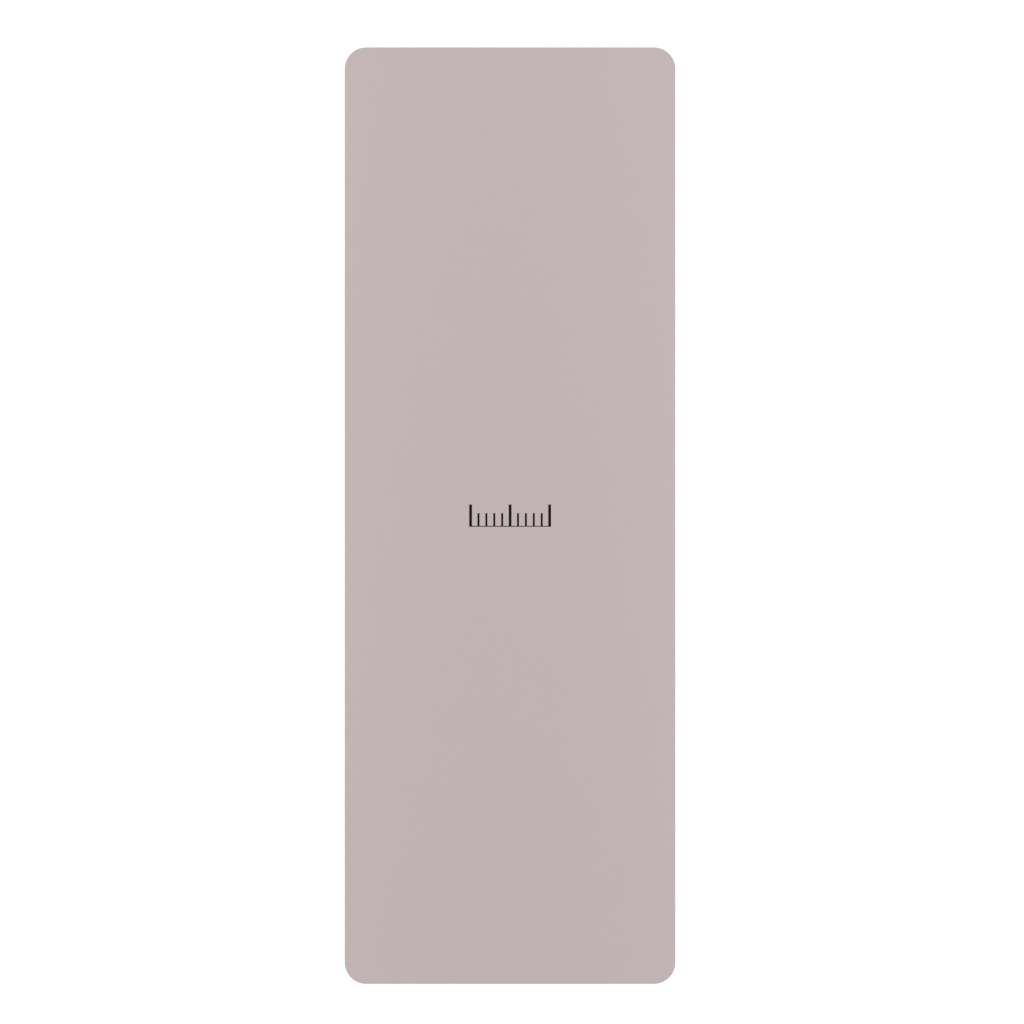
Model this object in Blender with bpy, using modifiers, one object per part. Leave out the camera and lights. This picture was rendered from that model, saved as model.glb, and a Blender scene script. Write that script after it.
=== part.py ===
"""Yoga mat lying flat: a treaded rubber base, a felt backing and a polyurethane skin.

Metres, +Z up. X runs across the mat and Y along it, and the origin is on the
floor under the middle of the mat. The three layers are die-cut together, so
one outline serves them all.
"""

import math

import bmesh
import bpy
from mathutils import Vector

MAT_NAME = "yoga_mat"

# Die-cut outline
MAT_LENGTH = 1.7272
MAT_WIDTH = 0.6096
CORNER_RADIUS = 0.0393
CORNER_STEPS = 12

# Layers, from the floor up
RUBBER_THICKNESS = 0.0033
FELT_THICKNESS = 0.0005
SKIN_THICKNESS = 0.0006
BOND_LINE = 0.0003  # glue film between one layer and the next

# Upper edge of the skin, which the cutting die presses round
SKIN_EDGE_RADIUS = 0.0002
SKIN_EDGE_STEPS = 2

# Moulded tread: zigzag grooves across the mat that run out through its edge
TREAD_PITCH = 0.016  # from one groove to the next, along the mat
GROOVE_WIDTH = 0.0045  # at the groove's roof, along the mat
GROOVE_DEPTH = 0.0006
GROOVE_DRAFT = math.radians(45)
ZIGZAG_LEG = 0.062  # across the mat, from one bend to the next
ZIGZAG_REACH = 0.028  # along the mat, from one bend to the next

# Finishes, with colours in linear light
RUBBER_COLOUR = (0.33, 0.275, 0.275)
RUBBER_ROUGHNESS = 0.85
FELT_COLOUR = (0.62, 0.58, 0.57)
FELT_ROUGHNESS = 0.95
SKIN_COLOUR = (0.53, 0.448, 0.448)
SKIN_ROUGHNESS = 0.6

CUT_OVERRUN = 0.0005
MERGE_DISTANCE = 0.000001
FLAT_ANGLE = math.radians(1)
SHARP_ANGLE = math.radians(30)

RUBBER_UNDERSIDE = 0.0
FELT_UNDERSIDE = RUBBER_UNDERSIDE + RUBBER_THICKNESS + BOND_LINE
SKIN_UNDERSIDE = FELT_UNDERSIDE + FELT_THICKNESS + BOND_LINE


def clear_scene():
    """Removes whatever the startup scene holds."""
    for thing in list(bpy.data.objects):
        bpy.data.objects.remove(thing, do_unlink=True)


def new_collection(name):
    """Makes an empty collection in the scene."""
    collection = bpy.data.collections.new(name)
    bpy.context.scene.collection.children.link(collection)
    return collection


def new_material(name, colour, roughness):
    """Makes a Principled material of one linear colour, with no metal in it."""
    material = bpy.data.materials.new(name)
    material.use_nodes = True
    shader = material.node_tree.nodes["Principled BSDF"]
    shader.inputs["Base Color"].default_value = (*colour, 1.0)
    shader.inputs["Roughness"].default_value = roughness
    shader.inputs["Metallic"].default_value = 0.0
    material.diffuse_color = (*colour, 1.0)
    return material


def outline_points():
    """The die-cut outline, anticlockwise: four corner arcs that straight edges join."""
    arc_x = MAT_WIDTH / 2 - CORNER_RADIUS
    arc_y = MAT_LENGTH / 2 - CORNER_RADIUS
    corners = ((1, 1), (-1, 1), (-1, -1), (1, -1))
    points = []
    for quarter, (side, end) in enumerate(corners):
        centre = Vector((side * arc_x, end * arc_y))
        for step in range(CORNER_STEPS + 1):
            angle = (quarter + step / CORNER_STEPS) * math.pi / 2
            points.append(centre + CORNER_RADIUS * Vector((math.cos(angle), math.sin(angle))))
    return points


def outline_curve(name, thickness, collection):
    """Makes the outline a filled curve, half its thickness to each side of its own plane."""
    curve = bpy.data.curves.new(name, "CURVE")
    curve.dimensions = "2D"
    curve.fill_mode = "BOTH"
    curve.extrude = thickness / 2
    places = outline_points()
    spline = curve.splines.new("POLY")
    spline.points.add(len(places) - 1)
    for point, place in zip(spline.points, places):
        point.co = (place.x, place.y, 0, 1)
    spline.use_cyclic_u = True
    blank = bpy.data.objects.new(name, curve)
    collection.objects.link(blank)
    return blank


def mesh_from(blank):
    """The closed mesh of a filled curve, with each of its flat caps as one face."""
    bpy.context.view_layer.update()
    graph = bpy.context.evaluated_depsgraph_get()
    mesh = bpy.data.meshes.new_from_object(blank.evaluated_get(graph))
    shape = bmesh.new()
    shape.from_mesh(mesh)
    bmesh.ops.remove_doubles(shape, verts=shape.verts, dist=MERGE_DISTANCE)
    bmesh.ops.dissolve_limit(shape, angle_limit=FLAT_ANGLE, verts=shape.verts, edges=shape.edges)
    bmesh.ops.recalc_face_normals(shape, faces=shape.faces)
    shape.to_mesh(mesh)
    shape.free()
    return mesh


def new_layer(name, thickness, underside, material, collection, mat):
    """Cuts one layer to the outline and lays its underside at its own height."""
    blank = outline_curve(name, thickness, collection)
    mesh = mesh_from(blank)
    curve = blank.data
    bpy.data.objects.remove(blank, do_unlink=True)
    bpy.data.curves.remove(curve)
    mesh.name = name
    mesh.materials.append(material)
    mesh.shade_smooth()
    mesh.set_sharp_from_angle(angle=SHARP_ANGLE)
    layer = bpy.data.objects.new(name, mesh)
    layer.location.z = underside + thickness / 2
    layer.parent = mat
    collection.objects.link(layer)
    return layer


def round_upper_edge(layer, radius, steps):
    """Rounds the rim of a layer's upper face."""
    rim = layer.vertex_groups.new(name="upper_rim")
    upper = [vertex.index for vertex in layer.data.vertices if vertex.co.z > 0]
    rim.add(upper, 1.0, "REPLACE")
    bevel = layer.modifiers.new("pressed_edge", "BEVEL")
    bevel.limit_method = "VGROUP"
    bevel.vertex_group = rim.name
    bevel.width = radius
    bevel.segments = steps


def groove_section():
    """The corners of a groove's cross-section, in the plane along the mat."""
    roof = RUBBER_UNDERSIDE + GROOVE_DEPTH
    below = RUBBER_UNDERSIDE - CUT_OVERRUN
    half_roof = GROOVE_WIDTH / 2
    half_below = half_roof + (roof - below) * math.tan(GROOVE_DRAFT)
    return (
        Vector((0, -half_below, below)),
        Vector((0, half_below, below)),
        Vector((0, half_roof, roof)),
        Vector((0, -half_roof, roof)),
    )


def tread_cutter(collection):
    """Makes the cutter of all grooves: one zigzag, extruded leg by leg, and its copies along the mat."""
    legs_each_side = math.ceil((MAT_WIDTH / 2 + CUT_OVERRUN) / ZIGZAG_LEG)
    rows_each_side = math.ceil((MAT_LENGTH / 2 + ZIGZAG_REACH) / TREAD_PITCH)
    first_bend = Vector((-legs_each_side * ZIGZAG_LEG, legs_each_side % 2 * ZIGZAG_REACH, 0))
    first_row = Vector((0, (0.5 - rows_each_side) * TREAD_PITCH, 0))

    shape = bmesh.new()
    corners = [shape.verts.new(first_row + first_bend + corner) for corner in groove_section()]
    section = shape.faces.new(corners)
    for bend in range(-legs_each_side, legs_each_side):
        lean = ZIGZAG_REACH if bend % 2 == 0 else -ZIGZAG_REACH
        made = bmesh.ops.extrude_face_region(shape, geom=[section, *section.edges])["geom"]
        moved = [item for item in made if isinstance(item, bmesh.types.BMVert)]
        bmesh.ops.translate(shape, verts=moved, vec=Vector((ZIGZAG_LEG, lean, 0)))
        section = next(item for item in made if isinstance(item, bmesh.types.BMFace))
    bmesh.ops.recalc_face_normals(shape, faces=shape.faces)
    mesh = bpy.data.meshes.new("tread_cutter")
    shape.to_mesh(mesh)
    shape.free()

    cutter = bpy.data.objects.new("tread_cutter", mesh)
    rows = cutter.modifiers.new("rows", "ARRAY")
    rows.use_relative_offset = False
    rows.use_constant_offset = True
    rows.constant_offset_displace = (0, TREAD_PITCH, 0)
    rows.count = 2 * rows_each_side
    cutter.hide_render = True
    cutter.display_type = "WIRE"
    collection.objects.link(cutter)
    return cutter


def cut_tread(layer, cutter):
    """Cuts the grooves into the underside of a layer."""
    cut = layer.modifiers.new("tread", "BOOLEAN")
    cut.operation = "DIFFERENCE"
    cut.solver = "EXACT"
    cut.object = cutter


def make_rubber_base(collection, cutters, mat):
    """Natural rubber foam, which lies on the floor on its tread."""
    rubber = new_material("foam_rubber", RUBBER_COLOUR, RUBBER_ROUGHNESS)
    base = new_layer(
        "rubber_base", RUBBER_THICKNESS, RUBBER_UNDERSIDE, rubber, collection, mat
    )
    cut_tread(base, tread_cutter(cutters))


def make_backing_felt(collection, mat):
    """Nonwoven felt, which carries the skin and is glued to the rubber."""
    felt = new_material("nonwoven_felt", FELT_COLOUR, FELT_ROUGHNESS)
    new_layer("backing_felt", FELT_THICKNESS, FELT_UNDERSIDE, felt, collection, mat)


def make_grip_skin(collection, mat):
    """Matte polyurethane, the face that is practised on."""
    polyurethane = new_material("polyurethane_skin", SKIN_COLOUR, SKIN_ROUGHNESS)
    skin = new_layer(
        "grip_skin", SKIN_THICKNESS, SKIN_UNDERSIDE, polyurethane, collection, mat
    )
    round_upper_edge(skin, SKIN_EDGE_RADIUS, SKIN_EDGE_STEPS)


def main():
    """Makes the mat, layer by layer from the floor up."""
    clear_scene()
    layers = new_collection(MAT_NAME)
    cutters = new_collection("cutters")
    mat = bpy.data.objects.new(MAT_NAME, None)
    layers.objects.link(mat)
    make_rubber_base(layers, cutters, mat)
    make_backing_felt(layers, mat)
    make_grip_skin(layers, mat)
    bpy.context.view_layer.update()


main()
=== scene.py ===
"""Dresses the yoga mat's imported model: a grained polyurethane skin, a felt ply and a foam rubber base.

Metres, +Z up, in the model's own frame: X runs across the mat, Y along it, and
the floor is at zero. Each layer of the model is replaced by a finer one of the
same outline, and a plain scale of ticks is printed in the middle of the face.
"""

import logging
import math
from abc import ABC, abstractmethod
from dataclasses import dataclass
from enum import Enum
from functools import cached_property
from typing import ClassVar

import bmesh
import bpy
import numpy as np
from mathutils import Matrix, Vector


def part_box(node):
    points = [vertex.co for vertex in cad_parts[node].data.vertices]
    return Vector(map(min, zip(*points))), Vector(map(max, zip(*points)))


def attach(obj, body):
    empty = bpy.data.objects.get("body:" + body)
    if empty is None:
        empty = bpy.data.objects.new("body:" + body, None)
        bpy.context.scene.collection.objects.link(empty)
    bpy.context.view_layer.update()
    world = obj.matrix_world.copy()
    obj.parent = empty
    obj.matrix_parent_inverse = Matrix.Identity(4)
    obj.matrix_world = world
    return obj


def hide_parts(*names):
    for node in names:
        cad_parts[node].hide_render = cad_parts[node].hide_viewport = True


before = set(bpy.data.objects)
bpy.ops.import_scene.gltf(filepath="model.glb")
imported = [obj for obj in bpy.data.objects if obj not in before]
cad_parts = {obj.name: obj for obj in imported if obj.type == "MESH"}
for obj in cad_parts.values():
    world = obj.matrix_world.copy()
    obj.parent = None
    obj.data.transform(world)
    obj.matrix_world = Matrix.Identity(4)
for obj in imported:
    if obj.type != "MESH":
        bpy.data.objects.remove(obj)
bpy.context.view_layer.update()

LOG = logging.getLogger("yoga_mat")

BODY = "root"
SHARP_ANGLE = math.radians(40)  # an edge that turns more than this stays sharp
MERGE_DISTANCE = 0.000001
FACING = 0.9  # a face looks along an axis where its normal has more than this along it
MIDDLE = 0.5  # the middle of what runs from 0 to 1

Colour = tuple[float, float, float]
Point = tuple[float, float, float]
Spot = tuple[float, float]
Range = tuple[float, float]
Socket = bpy.types.NodeSocket
Item = bmesh.types.BMVert | bmesh.types.BMEdge | bmesh.types.BMFace


class Layer(Enum):
    """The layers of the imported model, each as its node and its material slot."""

    RUBBER = ("rubber_base", "foam_rubber")
    FELT = ("backing_felt", "nonwoven_felt")
    SKIN = ("grip_skin", "polyurethane_skin")

    @property
    def node(self) -> str:
        """Returns the name of the layer's node."""
        return self.value[0]

    @property
    def slot(self) -> str:
        """Returns the name of the layer's material slot in the record."""
        return self.value[1]

    @property
    def underside(self) -> float:
        """Returns the height of the layer's lower face."""
        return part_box(self.node)[0].z

    @property
    def top(self) -> float:
        """Returns the height of the layer's upper face."""
        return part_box(self.node)[1].z

    def glue_below(self, upper: "Layer") -> float:
        """Returns the height of the middle of the glue film between this layer and the one above it."""
        return (self.top + upper.underside) / 2


class Ray(Enum):
    """The rays that look at the white surround, while all others only take its light."""

    CAMERA = "Is Camera Ray"
    GLOSSY = "Is Glossy Ray"
    TRANSMISSION = "Is Transmission Ray"


class Sketch:
    """A node tree in the making, with short calls for adding and joining nodes."""

    def __init__(self, tree: bpy.types.NodeTree) -> None:
        """Takes the node tree of a material or of the world, and clears it."""
        self.tree = tree
        tree.nodes.clear()

    @classmethod
    def of_material(cls, name: str) -> tuple["Sketch", bpy.types.Material]:
        """Makes a material with an empty tree.

        Args:
            name: the material's name.

        Returns:
            The sketch of its tree, and the material.
        """
        material = bpy.data.materials.new(name)
        material.use_nodes = True
        return cls(material.node_tree), material

    def add(
        self, kind: str, inputs: dict[str | int, object] | None = None, **settings: object
    ) -> bpy.types.Node:
        """Adds a node.

        Args:
            kind: the node's type, without its ShaderNode prefix.
            inputs: for each input's name or number, a value or a socket to join to it.
            settings: the node's own properties.

        Returns:
            The new node.
        """
        node = self.tree.nodes.new("ShaderNode" + kind)
        for key, value in settings.items():
            setattr(node, key, value)
        for key, value in (inputs or {}).items():
            if isinstance(value, Socket):
                self.tree.links.new(value, node.inputs[key])
            else:
                node.inputs[key].default_value = value
        return node

    def math(self, operation: str, *values: Socket | float) -> Socket:
        """Returns what a Math node makes of its operands."""
        return self.add("Math", dict(enumerate(values)), operation=operation).outputs[0]

    def vector_math(self, operation: str, *values: Socket | Point) -> Socket:
        """Returns what a Vector Math node makes of its operands."""
        return self.add("VectorMath", dict(enumerate(values)), operation=operation).outputs[0]

    @cached_property
    def place(self) -> Socket:
        """Returns the piece's own coordinates, in metres."""
        return self.add("TexCoord").outputs["Object"]

    def ranged(self, value: Socket, low: float, high: float) -> Socket:
        """Makes a value that runs from 0 to 1 run from low to high."""
        inputs = {"Value": value, "To Min": low, "To Max": high}
        return self.add("MapRange", inputs).outputs["Result"]

    def step(self, value: Socket, start: float, end: float) -> Socket:
        """Turns a value into a smooth step, which leaves 0 at start and reaches 1 at end."""
        inputs = {"Value": value, "From Min": start, "From Max": end}
        return self.add("MapRange", inputs, interpolation_type="SMOOTHSTEP").outputs["Result"]

    def blend(self, values: tuple[Socket, ...], shares: tuple[float, ...]) -> Socket:
        """Adds values up by their shares.

        Args:
            values: the sockets that give the values.
            shares: the share of each.

        Returns:
            The sum.
        """
        total = 0.0
        for value, share in zip(values, shares):
            total = self.math("MULTIPLY_ADD", value, share, total)
        return total

    def noise(self, place: Socket, size: float, detail: float = 2.0) -> Socket:
        """Returns a noise from 0 to 1, with features of a size in metres and finer ones over them."""
        inputs = {"Vector": place, "Scale": 1 / size, "Detail": detail}
        return self.add("TexNoise", inputs).outputs["Fac"]

    def cells(self, place: Socket, size: float, softness: float) -> Socket:
        """Returns the distance to the nearest cell's middle, in cells, with soft valleys between."""
        inputs = {"Vector": place, "Scale": 1 / size, "Smoothness": softness}
        return self.add("TexVoronoi", inputs, feature="SMOOTH_F1").outputs["Distance"]

    def creases(self, place: Socket, size: float, share: float) -> Socket:
        """Adds a net of thin creases.

        Args:
            place: the coordinates, in metres.
            size: the width of one mesh of the net, in metres.
            share: how wide a crease is, as a share of a mesh.

        Returns:
            0 in a crease and 1 away from it.
        """
        inputs = {"Vector": place, "Scale": 1 / size}
        node = self.add("TexVoronoi", inputs, feature="DISTANCE_TO_EDGE")
        return self.step(node.outputs["Distance"], 0.0, share)

    def warped(self, size: float, reach: float, detail: float = 1.0) -> Socket:
        """Bends the piece's coordinates, so that a texture on them looks grown and not ruled.

        Args:
            size: the width of one bend, in metres.
            reach: how far a place can move, in metres.
            detail: how many finer bends are laid over it.

        Returns:
            The bent coordinates.
        """
        bends = self.add("TexNoise", {"Vector": self.place, "Scale": 1 / size, "Detail": detail})
        centred = self.vector_math("SUBTRACT", bends.outputs["Color"], (MIDDLE,) * 3)
        return self.vector_math("MULTIPLY_ADD", centred, (reach / MIDDLE,) * 3, self.place)

    def looked_at(self) -> Socket:
        """Tells rays that look at a thing from rays that only take its light.

        Returns:
            1 for a ray from the camera, off gloss or through glass, and otherwise 0.
        """
        rays = self.add("LightPath").outputs
        seen = self.math("MAXIMUM", rays[Ray.CAMERA.value], rays[Ray.GLOSSY.value])
        return self.math("MAXIMUM", seen, rays[Ray.TRANSMISSION.value])


@dataclass(frozen=True)
class Finish(ABC):
    """A surface whose tone and roughness follow its relief, the tone as painted shade that is darker in
    the valleys, under soft clouds of tone.

    Attributes:
        name: its material's name.
        colour: its linear colour.
        painted_shade_shares: the tone in the relief's valleys and on its tops, as shares of the colour:
            painted shade, darker in the valleys and lighter on the tops.
        cloud: the width of one cloud.
        cloud_share: how much lighter and darker the clouds can be, as a share of the colour.
        relief: how deep its relief is.
        roughness: its roughness in the valleys and on the tops.
        specular: how glossy it is.
        sheen: how much it shines where it is seen at a slant.
    """

    name: ClassVar[str]
    colour: Colour
    painted_shade_shares: Range
    cloud: float
    cloud_share: float
    relief: float
    roughness: Range
    specular: float
    sheen: float

    @abstractmethod
    def pattern(self, sketch: Sketch) -> Socket:
        """Draws the relief.

        Args:
            sketch: the tree of the surface's material.

        Returns:
            The relief's height, from 0 to 1.
        """

    def material(self) -> bpy.types.Material:
        """Makes the surface's material.

        Returns:
            The material.
        """
        sketch, material = Sketch.of_material(self.name)
        height = self.pattern(sketch)
        noise = sketch.noise(sketch.place, self.cloud)
        clouds = sketch.ranged(noise, 1 - self.cloud_share, 1 + self.cloud_share)
        # painted shade: the tone follows the relief's height, darker in its valleys and lighter on its
        # tops; the clouds are the surface's own uneven tone
        tone = sketch.math("MULTIPLY", sketch.ranged(height, *self.painted_shade_shares), clouds)
        bump = sketch.add("Bump", {"Height": height, "Distance": self.relief})
        shader = sketch.add(
            "BsdfPrincipled",
            {
                "Base Color": sketch.vector_math("MULTIPLY", self.colour, tone),
                "Roughness": sketch.ranged(height, *self.roughness),
                "Specular IOR Level": self.specular,
                "Sheen Weight": self.sheen,
                "Normal": bump.outputs["Normal"],
            },
        )
        sketch.add("OutputMaterial", {"Surface": shader.outputs["BSDF"]})
        return material


@dataclass(frozen=True)
class PolyurethaneFinish(Finish):
    """Matte polyurethane with a fine grain of pebbles, which stand in a net of faint creases, with
    painted shade in the valleys between pebbles and in the creases.

    Attributes:
        grain: the width of one pebble.
        grain_softness: from 0 to 1, how soft the valleys between pebbles are.
        stray: how far a pebble can stand out of line.
        pore: the width of one pore of its surface.
        crease: the width of one mesh of the net of creases.
        crease_share: how wide a crease is, as a share of a mesh.
        relief_shares: how much of the relief the pebbles, the creases and the pores make.
    """

    name = "polyurethane"
    colour: Colour = (0.534, 0.448, 0.448)
    # painted shade: 8 % darker in the grain's valleys and creases, 4.5 % lighter on the pebbles
    painted_shade_shares: Range = (0.92, 1.045)
    cloud: float = 0.09
    cloud_share: float = 0.006
    relief: float = 0.00018
    roughness: Range = (0.55, 0.7)
    specular: float = 0.35
    sheen: float = 0.05
    grain: float = 0.0011
    grain_softness: float = 0.6
    stray: float = 0.00055
    pore: float = 0.00028
    crease: float = 0.0024
    crease_share: float = 0.16
    relief_shares: tuple[float, float, float] = (0.65, 0.15, 0.2)

    def pattern(self, sketch: Sketch) -> Socket:
        """Draws pebbles, creases and pores.

        Args:
            sketch: the tree of the surface's material.

        Returns:
            The relief's height, from 0 to 1.
        """
        grown = sketch.warped(self.crease, self.stray)
        pebbles = sketch.math("SUBTRACT", 1.0, sketch.cells(grown, self.grain, self.grain_softness))
        creases = sketch.creases(grown, self.crease, self.crease_share)
        pores = sketch.noise(sketch.place, self.pore)
        return sketch.blend((pebbles, creases, pores), self.relief_shares)


@dataclass(frozen=True)
class FeltFinish(Finish):
    """Nonwoven felt, seen where the die has cut it, with painted shade between its tufts.

    Attributes:
        fibre: the thickness of a tuft of fibres.
        tuft_detail: how many finer tufts are in a tuft.
        lie_shares: how closely the tufts are packed across, along and up, next to how thick they are.
    """

    name = "felt"
    colour: Colour = (0.62, 0.56, 0.55)
    # painted shade: darker between the tufts, lighter on them
    painted_shade_shares: Range = (0.7, 1.15)
    cloud: float = 0.02
    cloud_share: float = 0.04
    relief: float = 0.000065
    roughness: Range = (0.9, 1.0)
    specular: float = 0.2
    sheen: float = 0.2
    fibre: float = 0.00025
    tuft_detail: float = 4.0
    lie_shares: tuple[float, float, float] = (0.35, 0.35, 1.0)

    def pattern(self, sketch: Sketch) -> Socket:
        """Draws tufts of fibres that lie flat, as a height from 0 to 1."""
        lying = sketch.vector_math("MULTIPLY", sketch.place, self.lie_shares)
        return sketch.noise(lying, self.fibre, self.tuft_detail)


@dataclass(frozen=True)
class CutFoamFinish(Finish):
    """Natural rubber foam where the die has cut through its pores, with painted shade in the pores.

    Attributes:
        pore: the width of a large pore, with the rubber round it.
        small_pore: the width of a small one.
        small_depth_share: how deep a small pore is, as a share of a large one's depth.
        pore_softness: from 0 to 1, how soft the rubber between two pores is.
        stray: how far a pore can stand out of line.
        wall_shares: where a pore's wall starts and ends, as shares of the pore's width.
        fade: between which heights the mould's closed skin gives way to open pores.
    """

    name = "cut_foam"
    colour: Colour = (0.33, 0.275, 0.275)
    # painted shade: the pores' bottoms at half the colour
    painted_shade_shares: Range = (0.5, 1.0)
    cloud: float = 0.0085
    cloud_share: float = 0.08
    relief: float = 0.00022
    roughness: Range = (0.8, 0.9)
    specular: float = 0.3
    sheen: float = 0.0
    pore: float = 0.0007
    small_pore: float = 0.00032
    small_depth_share: float = 0.6
    pore_softness: float = 0.1
    stray: float = 0.000175
    wall_shares: Range = (0.2, 0.42)
    fade: Range = (0.0002, 0.0008)

    def pattern(self, sketch: Sketch) -> Socket:
        """Draws pores of two sizes, down to the closed skin at the floor.

        Args:
            sketch: the tree of the surface's material.

        Returns:
            The relief's height, from 0 to 1.
        """
        uneven = sketch.warped(self.pore, self.stray)
        large, small = (
            sketch.step(sketch.cells(uneven, size, self.pore_softness), *self.wall_shares)
            for size in (self.pore, self.small_pore)
        )
        open_foam = sketch.math("MINIMUM", large, sketch.ranged(small, 1 - self.small_depth_share, 1.0))
        height_above_floor = sketch.add("SeparateXYZ", {"Vector": sketch.place}).outputs["Z"]
        above_skin = sketch.step(height_above_floor, *self.fade)
        return sketch.math("MAXIMUM", open_foam, sketch.math("SUBTRACT", 1.0, above_skin))


@dataclass(frozen=True)
class MouldedRubberFinish(Finish):
    """The closed skin that the mould gives the rubber, with the print of its release cloth and a faint
    painted shade in the print's hollows.

    Attributes:
        thread: the distance between two threads of the cloth.
        speck: the width of the specks that the mould has left.
        relief_shares: how much of the relief the threads and the specks make.
    """

    name = "moulded_rubber"
    colour: Colour = CutFoamFinish.colour
    # painted shade: 3 % darker in the cloth print's hollows, 3 % lighter on its ridges
    painted_shade_shares: Range = (0.97, 1.03)
    cloud: float = 0.05
    cloud_share: float = 0.05
    relief: float = 0.000045
    roughness: Range = (0.7, 0.85)
    specular: float = 0.35
    sheen: float = 0.0
    thread: float = 0.0012
    speck: float = 0.0004
    relief_shares: tuple[float, float] = (0.77, 0.23)

    def pattern(self, sketch: Sketch) -> Socket:
        """Draws the cloth's threads, both ways, and the specks between them.

        Args:
            sketch: the tree of the surface's material.

        Returns:
            The relief's height, from 0 to 1.
        """
        axes = sketch.add("SeparateXYZ", {"Vector": sketch.place}).outputs
        turn = 2 * math.pi / self.thread
        threads = [sketch.math("SINE", sketch.math("MULTIPLY", axes[axis], turn)) for axis in "XY"]
        crossed = sketch.math("MULTIPLY", *threads)
        weave = sketch.math("MULTIPLY_ADD", crossed, MIDDLE, MIDDLE)
        return sketch.blend((weave, sketch.noise(sketch.place, self.speck)), self.relief_shares)


@dataclass(frozen=True)
class InkFinish(Finish):
    """Black ink, printed thin enough to take the grain below it, with painted shade in the grain's
    valleys.

    Attributes:
        grain: the width of one pebble of the grain below.
        grain_softness: from 0 to 1, how soft the valleys between pebbles are.
    """

    name = "ink"
    colour: Colour = (0.003, 0.003, 0.003)
    # painted shade: 20 % darker in the grain's valleys, 20 % lighter on the pebbles
    painted_shade_shares: Range = (0.8, 1.2)
    cloud: float = 0.01
    cloud_share: float = 0.1
    relief: float = 0.0001
    roughness: Range = (0.55, 0.65)
    specular: float = 0.08
    sheen: float = 0.0
    grain: float = PolyurethaneFinish.grain
    grain_softness: float = PolyurethaneFinish.grain_softness

    def pattern(self, sketch: Sketch) -> Socket:
        """Draws the pebbles that show through the ink, as a height from 0 to 1."""
        cells = sketch.cells(sketch.place, self.grain, self.grain_softness)
        return sketch.math("SUBTRACT", 1.0, cells)


@dataclass(frozen=True)
class FloorFinish:
    """A white floor that keeps the mat's shadow.

    Attributes:
        reflectance: how much light it gives back to the mat.
        shadow_share: how much of its white the lamps make, and a shadow takes away.
        glow: the white that is always there.
    """

    reflectance: float = 0.75
    shadow_share: float = 0.5
    glow: float = 0.68

    def material(self) -> bpy.types.Material:
        """Makes the floor's material.

        Returns:
            The material, white to look at and less bright to the mat.
        """
        sketch, material = Sketch.of_material("floor")
        bounced, lit = (
            sketch.add("BsdfDiffuse", {"Color": (share, share, share, 1.0)}).outputs["BSDF"]
            for share in (self.reflectance, self.shadow_share)
        )
        glow = sketch.add("Emission", {"Strength": self.glow}).outputs["Emission"]
        white = sketch.add("AddShader", {0: lit, 1: glow}).outputs["Shader"]
        shown = sketch.add("MixShader", {0: sketch.looked_at(), 1: bounced, 2: white})
        sketch.add("OutputMaterial", {"Surface": shown.outputs["Shader"]})
        return material


@dataclass(frozen=True)
class Ripple:
    """One of the long waves in which the unrolled mat lies.

    Attributes:
        wavelength: from crest to crest.
        heading: the angle from +Y to the way it runs.
        phase: where its crests are, as an angle.
        lift_share: how much of the mat's lift it makes.
    """

    wavelength: float
    heading: float
    phase: float
    lift_share: float

    def level(self, x: np.ndarray, y: np.ndarray) -> np.ndarray:
        """Gives the wave's level, from 0 in its troughs to its share of the lift on its crests.

        Args:
            x: places across the mat.
            y: places along the mat.

        Returns:
            The level at each place.
        """
        along = x * math.sin(self.heading) + y * math.cos(self.heading)
        wave = np.sin(2 * math.pi * along / self.wavelength + self.phase)
        return self.lift_share * (1 + wave) / 2


@dataclass(frozen=True)
class Repose:
    """How the mat lies on the floor: nearly flat, with the waves that its roll has left.

    Attributes:
        lift: how high the highest place stands off the floor.
        ripples: the waves that make up the lift.
    """

    lift: float = 0.0004
    ripples: tuple[Ripple, ...] = (
        Ripple(wavelength=0.31, heading=0.06, phase=0.4, lift_share=0.5),
        Ripple(wavelength=0.47, heading=0.9, phase=2.1, lift_share=0.3),
        Ripple(wavelength=0.19, heading=-0.25, phase=4.0, lift_share=0.2),
    )

    def settle(self, mesh: bpy.types.Mesh) -> None:
        """Raises each point of a flat mesh by the mat's height there.

        Args:
            mesh: a mesh that was made on a flat floor.
        """
        places = np.empty(len(mesh.vertices) * 3)
        mesh.vertices.foreach_get("co", places)
        places = places.reshape(-1, 3)
        levels = [ripple.level(places[:, 0], places[:, 1]) for ripple in self.ripples]
        places[:, 2] += self.lift * sum(levels)
        mesh.vertices.foreach_set("co", places.ravel())
        mesh.update()


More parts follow.
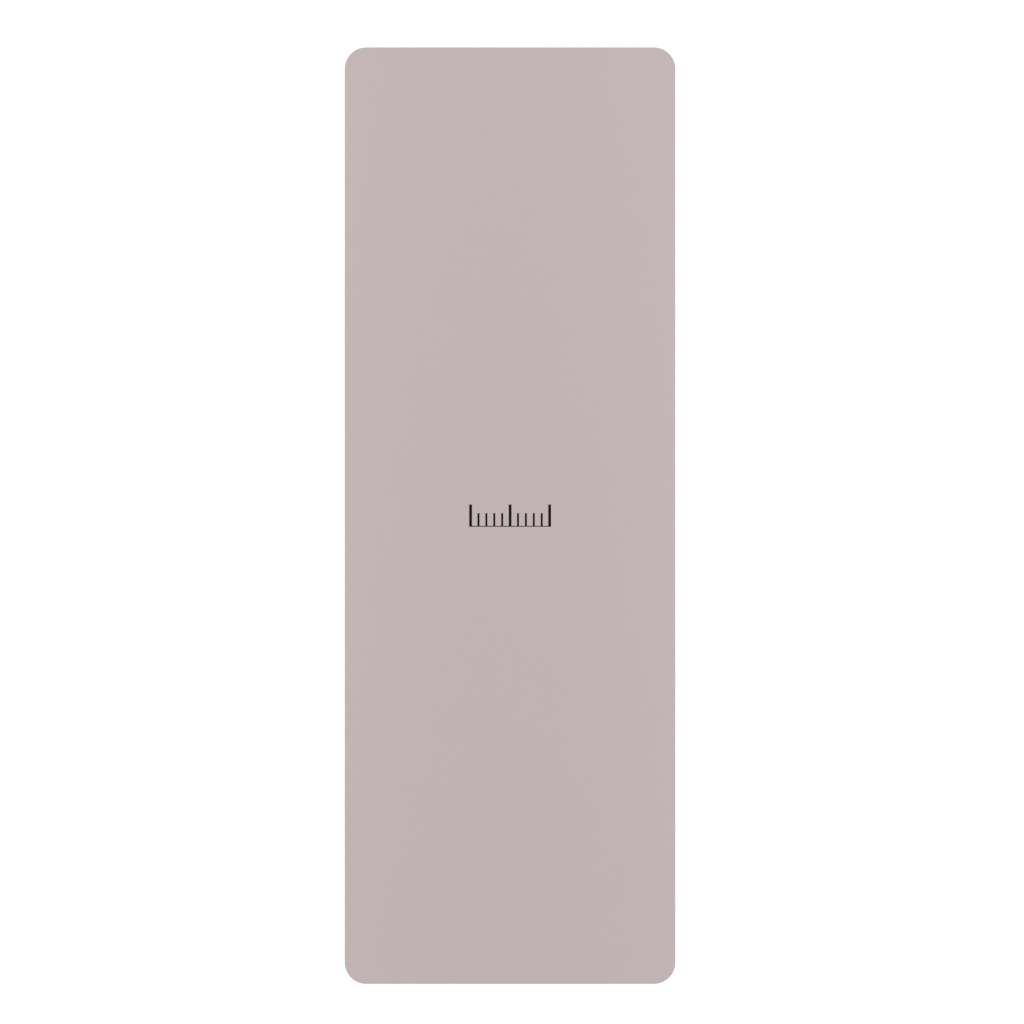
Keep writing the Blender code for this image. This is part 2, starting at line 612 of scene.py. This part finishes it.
@dataclass(frozen=True)
class Outline:
    """The die-cut outline: a rectangle with round corners about the origin.

    Attributes:
        width: its size across the mat.
        length: its size along the mat.
        corner_radius: the radius of its corners.
    """

    width: float
    length: float
    corner_radius: float

    @classmethod
    def of_model(cls) -> "Outline":
        """Measures the outline on the model's skin.

        Returns:
            The outline, whose corners begin where the skin's long sides end.
        """
        points = [vertex.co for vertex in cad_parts[Layer.SKIN.node].data.vertices]
        half_width = max(point.x for point in points)
        half_length = max(point.y for point in points)
        side_end = max(point.y for point in points if point.x > half_width - MERGE_DISTANCE)
        return cls(2 * half_width, 2 * half_length, half_length - side_end)

    @property
    def area(self) -> float:
        """Returns the area inside the outline."""
        return self.width * self.length - (4 - math.pi) * self.corner_radius**2

    @property
    def arc_middle(self) -> Spot:
        """Returns the middle of the corner arc at +X and +Y."""
        return self.width / 2 - self.corner_radius, self.length / 2 - self.corner_radius

    def inset(self, distance: float) -> "Outline":
        """Returns the outline moved inwards all round by a distance."""
        width, length = self.width - 2 * distance, self.length - 2 * distance
        return Outline(width, length, self.corner_radius - distance)

    def points(self, corner_steps: int) -> list[Spot]:
        """Places points round the outline, anticlockwise.

        Args:
            corner_steps: how many straight pieces make a corner.

        Returns:
            The points, from the corner at +X and +Y.
        """
        arc_x, arc_y = self.arc_middle
        points = []
        for quarter, (side, end) in enumerate(((1, 1), (-1, 1), (-1, -1), (1, -1))):
            for step in range(corner_steps + 1):
                angle = (quarter + step / corner_steps) * math.pi / 2
                x = side * arc_x + self.corner_radius * math.cos(angle)
                y = end * arc_y + self.corner_radius * math.sin(angle)
                points.append((x, y))
        return points

    def round_off(self, x: np.ndarray, y: np.ndarray) -> np.ndarray:
        """Moves points of the square-cornered rectangle into the round-cornered one.

        Each corner's square turns into a quarter disc, in which rows and columns
        become rings, and all other points stay.

        Args:
            x: places across the mat.
            y: places along the mat.

        Returns:
            The moved places, with an axis more for across and along.
        """
        arc_x, arc_y = self.arc_middle
        over_x = np.maximum(np.abs(x) - arc_x, 0)
        over_y = np.maximum(np.abs(y) - arc_y, 0)
        ring = np.maximum(over_x, over_y)
        inner = np.minimum(over_x, over_y)
        turn = np.divide(inner, ring, out=np.zeros_like(ring), where=ring > 0) * math.pi / 4
        angle = np.where(over_x >= over_y, turn, math.pi / 2 - turn)
        in_corner = inner > 0
        round_x = np.where(in_corner, np.sign(x) * (arc_x + ring * np.cos(angle)), x)
        round_y = np.where(in_corner, np.sign(y) * (arc_y + ring * np.sin(angle)), y)
        return np.stack([round_x, round_y], axis=-1)


def quads_of(numbers: np.ndarray) -> np.ndarray:
    """Joins a grid of points into quads that face up.

    Args:
        numbers: the points' numbers, by column and row.

    Returns:
        The numbers of each quad's corners.
    """
    corners = (numbers[:-1, :-1], numbers[1:, :-1], numbers[1:, 1:], numbers[:-1, 1:])
    return np.stack([corner.ravel() for corner in corners], axis=1)


@dataclass(frozen=True)
class Lattice:
    """The quads that fill an outline.

    Attributes:
        across: cells between the corners, across the mat.
        along: cells between the corners, along the mat.
        corner: cells in a corner, each way.
    """

    across: int = 66
    along: int = 206
    corner: int = 8

    def numbers(self) -> np.ndarray:
        """Returns the numbers of the points, by column and row."""
        columns, rows = self.across + 2 * self.corner + 1, self.along + 2 * self.corner + 1
        return np.arange(columns * rows).reshape(columns, rows)

    def rim(self) -> np.ndarray:
        """Follows the edge of the lattice.

        Returns:
            The numbers of the edge's points, anticlockwise.
        """
        numbers = self.numbers()
        sides = (numbers[:-1, 0], numbers[-1, :-1], numbers[:0:-1, -1], numbers[0, :0:-1])
        return np.concatenate(sides)

    def lines(self, arc_middle: float, radius: float, cells: int) -> np.ndarray:
        """Places the lattice's lines along one axis.

        Args:
            arc_middle: where the middle of a corner's arc is on that axis.
            radius: the corner's radius.
            cells: the cells between the corners.

        Returns:
            The lines' places, from one edge to the other.
        """
        straight = np.linspace(-arc_middle, arc_middle, cells + 1)
        bend = np.linspace(arc_middle, arc_middle + radius, self.corner + 1)[1:]
        return np.concatenate([-bend[::-1], straight, bend])

    def fill(self, outline: Outline) -> np.ndarray:
        """Fills an outline with the lattice's points.

        Args:
            outline: the outline to fill.

        Returns:
            The points' places across and along, in the order of their numbers.
        """
        arc_x, arc_y = outline.arc_middle
        columns = self.lines(arc_x, outline.corner_radius, self.across)
        rows = self.lines(arc_y, outline.corner_radius, self.along)
        x, y = np.meshgrid(columns, rows, indexing="ij")
        return outline.round_off(x, y).reshape(-1, 2)


@dataclass(frozen=True)
class EdgeRing:
    """One ring of a layer's edge.

    Attributes:
        inset: how far inside the outline it runs.
        height: how high it runs.
    """

    inset: float
    height: float


def mesh_of(shape: bmesh.types.BMesh, name: str) -> bpy.types.Mesh:
    """Turns a shape into a mesh that faces out, and frees the shape.

    Args:
        shape: the shape.
        name: the mesh's name.

    Returns:
        The mesh.
    """
    bmesh.ops.recalc_face_normals(shape, faces=shape.faces)
    mesh = bpy.data.meshes.new(name)
    shape.to_mesh(mesh)
    shape.free()
    return mesh


def raise_points(made: list[Item], height: float) -> None:
    """Moves the new points of an extrusion to a height.

    Args:
        made: what the extrusion has made.
        height: where its points go.
    """
    for item in made:
        if isinstance(item, bmesh.types.BMVert):
            item.co.z = height


def prism(name: str, outlines: list[list[Spot]], bottom: float, top: float) -> bpy.types.Mesh:
    """Raises flat outlines into one closed solid.

    Args:
        name: the mesh's name.
        outlines: the corners of each outline, which has whole sides in common with those it touches.
        bottom: the solid's lower height.
        top: its upper height.

    Returns:
        The mesh, facing out.
    """
    shape = bmesh.new()
    for outline in outlines:
        shape.faces.new([shape.verts.new((x, y, bottom)) for x, y in outline])
    bmesh.ops.remove_doubles(shape, verts=shape.verts, dist=MERGE_DISTANCE)
    made = bmesh.ops.extrude_face_region(shape, geom=shape.faces[:])["geom"]
    raise_points(made, top)
    return mesh_of(shape, name)


def new_object(mesh: bpy.types.Mesh) -> bpy.types.Object:
    """Puts a mesh into the scene.

    Args:
        mesh: the mesh, whose name the object takes.

    Returns:
        The new object.
    """
    thing = bpy.data.objects.new(mesh.name, mesh)
    bpy.context.scene.collection.objects.link(thing)
    return thing


@dataclass(kw_only=True)
class Piece(ABC):
    """A piece of the mat, shaped on a flat floor and then laid as the mat lies.

    Attributes:
        name: what it is called.
        layer: the layer of the model that it stands for, if it stands for one.
        repose: how the mat lies.
        finish: what it is made of.
    """

    name: ClassVar[str]
    layer: ClassVar[Layer | None] = None
    repose: Repose
    finish: Finish

    @abstractmethod
    def make_mesh(self) -> bpy.types.Mesh:
        """Returns the piece's closed mesh, flat and undressed."""

    def dress(self, mesh: bpy.types.Mesh) -> None:
        """Gives the whole mesh the piece's finish."""
        mesh.materials.clear()
        mesh.materials.append(self.finish.material())

    def build(self) -> bpy.types.Object:
        """Shapes the piece, dresses it and lays it down.

        Returns:
            The piece, which rides on the mat.
        """
        mesh = self.make_mesh()
        self.dress(mesh)
        self.repose.settle(mesh)
        mesh.shade_smooth()
        mesh.set_sharp_from_angle(angle=SHARP_ANGLE)
        piece = new_object(mesh)
        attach(piece, BODY)
        if self.layer is not None:
            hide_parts(self.layer.node)
        return piece


@dataclass(kw_only=True)
class Sheet(Piece):
    """A thin sheet with the same lattice on both faces.

    Attributes:
        outline: the die-cut outline.
        lattice: the quads of its faces.
        film: how much of each glue film it leaves free.
    """

    outline: Outline
    lattice: Lattice = Lattice()
    film: float = 0.00002

    @abstractmethod
    def edge(self) -> list[EdgeRing]:
        """Returns the rings of its edge, from the upper face's rim to the lower face's."""

    def make_mesh(self) -> bpy.types.Mesh:
        """Shapes the sheet, from its upper face over its edge to its lower face.

        Returns:
            The closed mesh, facing out.
        """
        rings = self.edge()
        rim, quads = self.lattice.rim(), quads_of(self.lattice.numbers())
        blocks, loops, first = [], [], 0
        for ring in rings:
            flat = self.lattice.fill(self.outline.inset(ring.inset))
            is_face = ring in (rings[0], rings[-1])
            kept = flat if is_face else flat[rim]
            loops.append(first + (rim if is_face else np.arange(len(rim))))
            blocks.append(np.column_stack([kept, np.full(len(kept), ring.height)]))
            first += len(kept)
        lower = first - len(blocks[-1])
        faces = [quads, quads[:, ::-1] + lower]
        for above, below in zip(loops, loops[1:]):
            corners = (above, below, np.roll(below, -1), np.roll(above, -1))
            faces.append(np.stack(corners, axis=1))
        mesh = bpy.data.meshes.new(self.name)
        mesh.from_pydata(np.concatenate(blocks).tolist(), [], np.concatenate(faces).tolist())
        mesh.validate()
        return mesh


@dataclass(kw_only=True)
class GripSkin(Sheet):
    """The polyurethane face that is practised on.

    Attributes:
        roll: how far in the cutting die presses its upper edge round.
        drop: how far down.
        roll_steps: how many rings of quads the pressed edge has.
    """

    name = "skin_sheet"
    layer = Layer.SKIN
    finish: Finish = PolyurethaneFinish()
    roll: float = 0.0006
    drop: float = 0.00035
    roll_steps: int = 5

    def edge(self) -> list[EdgeRing]:
        """Shapes the edge, which the die has pressed round above.

        Returns:
            The rings of the edge, from the upper face down.
        """
        rings = []
        for step in range(self.roll_steps + 1):
            angle = step / self.roll_steps * math.pi / 2
            inset = self.roll * (1 - math.sin(angle))
            rings.append(EdgeRing(inset, Layer.SKIN.top - self.drop * (1 - math.cos(angle))))
        return [*rings, EdgeRing(0.0, Layer.FELT.glue_below(Layer.SKIN) + self.film)]


@dataclass(kw_only=True)
class BackingFelt(Sheet):
    """The felt ply between the skin and the rubber, which shows as a pale line in the edge.

    Attributes:
        recess: how far the cut fibres draw back from the outline.
    """

    name = "felt_ply"
    layer = Layer.FELT
    finish: Finish = FeltFinish()
    recess: float = 0.00012

    def edge(self) -> list[EdgeRing]:
        """Shapes the edge, which stands straight.

        Returns:
            The rings of the edge, from the upper face down.
        """
        top = Layer.FELT.glue_below(Layer.SKIN) - self.film
        underside = Layer.RUBBER.glue_below(Layer.FELT) + self.film
        return [EdgeRing(self.recess, top), EdgeRing(self.recess, underside)]


@dataclass(frozen=True)
class Tread:
    """The moulded tread: zigzag grooves across the mat, as the model has them, with soft edges.

    Attributes:
        pitch: from one groove to the next, along the mat.
        roof: a groove's width at its roof, along the mat.
        depth: a groove's depth.
        draft: the lean of a groove's walls.
        leg: from one bend of the zigzag to the next, across the mat.
        reach: from one bend to the next, along the mat.
        softness: how far the mould rounds the edges of a groove.
        bend: how far the mould rounds the zigzag's bends.
        column_shares: where the columns of points stand in each leg, as shares of it.
    """

    pitch: float = 0.016
    roof: float = 0.0045
    depth: float = 0.0006
    draft: float = math.radians(45)
    leg: float = 0.062
    reach: float = 0.028
    softness: float = 0.0003
    bend: float = 0.002
    column_shares: tuple[float, ...] = (0.0, 0.03, 0.08, 0.36, 0.64, 0.92, 0.97)

    def columns(self, half_width: float) -> np.ndarray:
        """Places the columns of points across the mat.

        Args:
            half_width: how far the columns must reach to each side.

        Returns:
            Their places, from -X to +X.
        """
        legs = math.ceil(half_width / self.leg)
        starts = np.arange(-legs, legs)[:, None]
        return np.append((starts + np.array(self.column_shares)).ravel(), legs) * self.leg

    def lean(self, x: np.ndarray) -> np.ndarray:
        """Gives how far along the mat the zigzag has gone.

        Args:
            x: places across the mat.

        Returns:
            The distance from a groove's own line, at each place.
        """
        phase = np.abs((x / self.leg) % 2 - 1)
        soft = self.bend / self.leg
        from_bend = np.hypot(phase, soft) - np.hypot(1 - phase, soft)
        return self.reach * (1 - from_bend) / 2

    def section(self) -> list[Spot]:
        """Shapes a groove and the rib beside it.

        Returns:
            Places along the mat from the groove's middle, with their heights, up to the rib's middle.
        """
        run = self.depth * math.tan(self.draft)
        half_roof, half_mouth = self.roof / 2, self.roof / 2 + run
        cut = self.softness / math.hypot(run, self.depth) / 2
        side = [
            (half_roof - self.softness, self.depth),
            (half_roof + run * cut, self.depth * (1 - cut)),
            (half_mouth - run * cut, self.depth * cut),
            (half_mouth + self.softness, 0.0),
        ]
        mirrored = [(-place, height) for place, height in reversed(side)]
        return [*mirrored, *side, (self.pitch / 2, 0.0)]

    def rows(self, half_length: float) -> tuple[np.ndarray, np.ndarray]:
        """Places the rows of points along the mat, before they take the zigzag.

        Args:
            half_length: how far the rows must reach to each end.

        Returns:
            Their places, from -Y to +Y, and their heights.
        """
        each_side = math.ceil((half_length + self.reach) / self.pitch)
        middles = (np.arange(-each_side, each_side) + MIDDLE)[:, None] * self.pitch
        places, heights = np.array(self.section()).T
        return (middles + places).ravel(), np.tile(heights, 2 * each_side)


@dataclass(kw_only=True)
class RubberBase(Piece):
    """The foam rubber base, with its moulded tread on the floor and its pores cut open at the edge.

    Attributes:
        outline: the die-cut outline.
        tread: the tread of its underside.
        film: how much of the glue film it leaves free.
        overrun: how far the moulded slab reaches past the die.
        corner_steps: the facets of each corner.
        cell: how far apart the points of its upper face are.
        cut_finish: what its edge is made of.
    """

    name = "foam_base"
    layer = Layer.RUBBER
    finish: Finish = MouldedRubberFinish()
    outline: Outline
    tread: Tread = Tread()
    film: float = Sheet.film
    overrun: float = 0.004
    corner_steps: int = 16
    cell: float = 0.02
    cut_finish: Finish = CutFoamFinish()

    @property
    def top(self) -> float:
        """Returns the height of the base's upper face."""
        return Layer.RUBBER.glue_below(Layer.FELT) - self.film

    def slab(self) -> bpy.types.Mesh:
        """Moulds the slab that the mat is cut out of.

        Returns:
            A closed mesh with the tread below, larger than the outline all round.
        """
        across = self.tread.columns(self.outline.width / 2 + self.overrun)
        along, heights = self.tread.rows(self.outline.length / 2 + self.overrun)
        x, y = np.meshgrid(across, along, indexing="ij")
        points = np.stack([x, y + self.tread.lean(x), np.broadcast_to(heights, x.shape)], axis=-1)
        shape = bmesh.new()
        under = [shape.verts.new(place) for place in points.reshape(-1, 3)]
        for quad in quads_of(np.arange(x.size).reshape(x.shape)):
            shape.faces.new([under[number] for number in quad])
        rim = [edge for edge in shape.edges if edge.is_boundary]
        made = bmesh.ops.extrude_edge_only(shape, edges=rim)["geom"]
        raise_points(made, self.top)
        lid = [item for item in made if isinstance(item, bmesh.types.BMEdge) and item.is_boundary]
        bmesh.ops.contextual_create(shape, geom=lid)
        return mesh_of(shape, "moulded_slab")

    def cut_out(self) -> bpy.types.Mesh:
        """Cuts the base out of the moulded slab with a die of the outline.

        Returns:
            The closed mesh of the base.
        """
        outlines = [self.outline.points(self.corner_steps)]
        slab = new_object(self.slab())
        die = new_object(prism("die", outlines, -self.overrun, self.top + self.overrun))
        press = slab.modifiers.new("press", "BOOLEAN")
        press.operation = "INTERSECT"
        press.solver = "MANIFOLD"
        press.object = die
        bpy.context.view_layer.update()
        graph = bpy.context.evaluated_depsgraph_get()
        mesh = bpy.data.meshes.new_from_object(slab.evaluated_get(graph))
        mesh.name = self.name
        for tool in (slab, die):
            bpy.data.objects.remove(tool, do_unlink=True)
        return mesh

    def divide_top(self, mesh: bpy.types.Mesh) -> None:
        """Divides the upper face into cells, so that it can follow the mat's waves.

        Args:
            mesh: the base's mesh.
        """
        shape = bmesh.new()
        shape.from_mesh(mesh)
        sides = ((Vector((1, 0, 0)), self.outline.width), (Vector((0, 1, 0)), self.outline.length))
        for normal, side in sides:
            cells = math.ceil(side / self.cell)
            for number in range(1, cells):
                upper = [face for face in shape.faces if face.normal.z > FACING]
                geometry = {item for face in upper for item in (face, *face.edges, *face.verts)}
                place = normal * side * (number / cells - MIDDLE)
                bmesh.ops.bisect_plane(shape, geom=list(geometry), plane_co=place, plane_no=normal)
        shape.to_mesh(mesh)
        shape.free()

    def dress(self, mesh: bpy.types.Mesh) -> None:
        """Gives the base its moulded finish, and the cut foam's at its edge.

        Args:
            mesh: the base's mesh.
        """
        super().dress(mesh)
        mesh.materials.append(self.cut_finish.material())
        normals = np.empty(len(mesh.polygons) * 3)
        mesh.polygons.foreach_get("normal", normals)
        in_edge = np.hypot(*normals.reshape(-1, 3).T[:2]) > FACING
        mesh.polygons.foreach_set("material_index", in_edge.astype(np.int32))

    def make_mesh(self) -> bpy.types.Mesh:
        """Shapes the base.

        Returns:
            The closed mesh, facing out.
        """
        mesh = self.cut_out()
        self.divide_top(mesh)
        return mesh


@dataclass(kw_only=True)
class CentreMark(Piece):
    """A plain scale of ticks printed in the middle of the face, to centre hands and feet by.

    Attributes:
        length: from its first tick to its last.
        rule: the width of the line that the ticks stand on.
        ticks: how many there are.
        short: the width and height of a short tick.
        tall: the width and height of the first, the middle and the last tick.
        proud: how far the ink stands above the face.
    """

    name = "centre_mark"
    finish: Finish = InkFinish()
    length: float = 0.151
    rule: float = 0.0016
    ticks: int = 11
    short: tuple[float, float] = (0.0038, 0.025)
    tall: tuple[float, float] = (0.0052, 0.041)
    proud: float = 0.00004

    def bars(self) -> list[list[Spot]]:
        """Sets out the ticks and the line below them, which they part into pieces.

        Returns:
            The corners of each printed rectangle.
        """
        foot = -self.tall[1] / 2
        spacing = (self.length - self.tall[0]) / (self.ticks - 1)
        middle_tick = self.ticks // 2
        spans, last = [], None
        for number in range(self.ticks):
            is_tall = number in (0, middle_tick, self.ticks - 1)
            width, height = self.tall if is_tall else self.short
            middle = (number - middle_tick) * spacing
            left, right = middle - width / 2, middle + width / 2
            if last is not None:
                spans.append((last, left, foot, foot + self.rule))
            spans.append((left, right, foot, foot + self.rule))
            spans.append((left, right, foot + self.rule, foot + height))
            last = right
        return [[(x0, y0), (x1, y0), (x1, y1), (x0, y1)] for x0, x1, y0, y1 in spans]

    def make_mesh(self) -> bpy.types.Mesh:
        """Returns the print's closed mesh, which stands half in the face."""
        face = Layer.SKIN.top
        return prism(self.name, self.bars(), face - self.proud, face + self.proud)


@dataclass(frozen=True)
class SoftBox:
    """A large soft lamp.

    Attributes:
        name: what it is called.
        place: where it hangs.
        size: its width and height.
        watts: its power.
    """

    name: str
    place: Point
    size: tuple[float, float]
    watts: float

    def hang(self) -> None:
        """Hangs the lamp and turns it to the origin."""
        light = bpy.data.lights.new(self.name, "AREA")
        light.shape = "RECTANGLE"
        light.size, light.size_y = self.size
        light.energy = self.watts
        lamp = bpy.data.objects.new(self.name, light)
        lamp.location = self.place
        lamp.rotation_euler = Vector(self.place).to_track_quat("Z", "Y").to_euler()
        lamp.visible_camera = False
        bpy.context.scene.collection.objects.link(lamp)


@dataclass(frozen=True)
class Studio:
    """The floor, the lamps, the white surround and the camera straight above the mat.

    Attributes:
        outline: the mat's outline, which sets the photograph's scale.
        mat_pixels: the mat's length in the photograph.
        mat_middle: the pixel of the photograph that shows the mat's middle.
        picture: the photograph's width and height, in pixels.
        lens: the camera's focal length, in millimetres.
        sight: how far the camera sees.
        floor_half: half the floor's width.
        floor: the floor's finish.
        surround: how strongly the white surround lights the mat.
        lamps: the soft lamps.
    """

    outline: Outline
    mat_pixels: float = 936.5
    mat_middle: Spot = (510.1, 515.6)
    picture: float = 1024.0
    lens: float = 70.0
    sight: float = 40.0
    floor_half: float = 10.0
    floor: FloorFinish = FloorFinish()
    surround: float = 0.65
    lamps: tuple[SoftBox, ...] = (
        SoftBox("key", place=(5.0, 6.0, 16.0), size=(6.0, 6.0), watts=1048.0),
        SoftBox("left_strip", place=(-0.62, 0.0, 0.22), size=(2.2, 0.1), watts=0.62),
        SoftBox("right_strip", place=(0.62, 0.0, 0.22), size=(2.2, 0.1), watts=0.54),
        SoftBox("head_strip", place=(0.0, 1.12, 0.18), size=(1.0, 0.1), watts=0.06),
        SoftBox("foot_strip", place=(0.0, -1.12, 0.18), size=(1.0, 0.1), watts=0.047),
    )

    def stand_camera(self) -> None:
        """Stands the camera above the mat, at the photograph's scale and framing."""
        data = bpy.data.cameras.new("camera")
        data.lens = self.lens
        data.clip_end = self.sight
        metres_per_pixel = self.outline.length / self.mat_pixels
        away = self.picture * metres_per_pixel * self.lens / data.sensor_width
        camera = bpy.data.objects.new("camera", data)
        camera.location = (
            (self.picture / 2 - self.mat_middle[0]) * metres_per_pixel,
            (self.mat_middle[1] - self.picture / 2) * metres_per_pixel,
            Layer.SKIN.top + away,
        )
        bpy.context.scene.collection.objects.link(camera)
        bpy.context.scene.camera = camera

    def lay_floor(self) -> None:
        """Lays the floor at zero."""
        shape = bmesh.new()
        bmesh.ops.create_grid(shape, x_segments=1, y_segments=1, size=self.floor_half)
        mesh = mesh_of(shape, "floor")
        mesh.materials.append(self.floor.material())
        new_object(mesh)

    def wrap_in_white(self) -> None:
        """Makes the world white to look at, and as bright as the surround for the mat."""
        world = bpy.data.worlds.new("surround")
        world.use_nodes = True
        bpy.context.scene.world = world
        sketch = Sketch(world.node_tree)
        strength = sketch.ranged(sketch.looked_at(), self.surround, 1.0)
        white = sketch.add("Background", {"Color": (1.0, 1.0, 1.0, 1.0), "Strength": strength})
        sketch.add("OutputWorld", {"Surface": white.outputs["Background"]})

    def build(self) -> None:
        """Sets the studio up."""
        bpy.context.scene.view_settings.view_transform = "Standard"
        self.stand_camera()
        self.lay_floor()
        self.wrap_in_white()
        for lamp in self.lamps:
            lamp.hang()


def main() -> None:
    """Sets up the studio and builds the mat from the floor up."""
    logging.basicConfig(level=logging.INFO, format="%(message)s")
    outline = Outline.of_model()
    repose = Repose()
    Studio(outline).build()
    LOG.info("studio: camera, floor, surround and lamps")

    base = RubberBase(repose=repose, outline=outline).build()
    felt = BackingFelt(repose=repose, outline=outline).build()
    skin = GripSkin(repose=repose, outline=outline).build()
    mark = CentreMark(repose=repose).build()
    for piece in (base, felt, skin, mark):
        LOG.info("%s: %d faces", piece.name, len(piece.data.polygons))


if __name__ == "__main__":
    main()
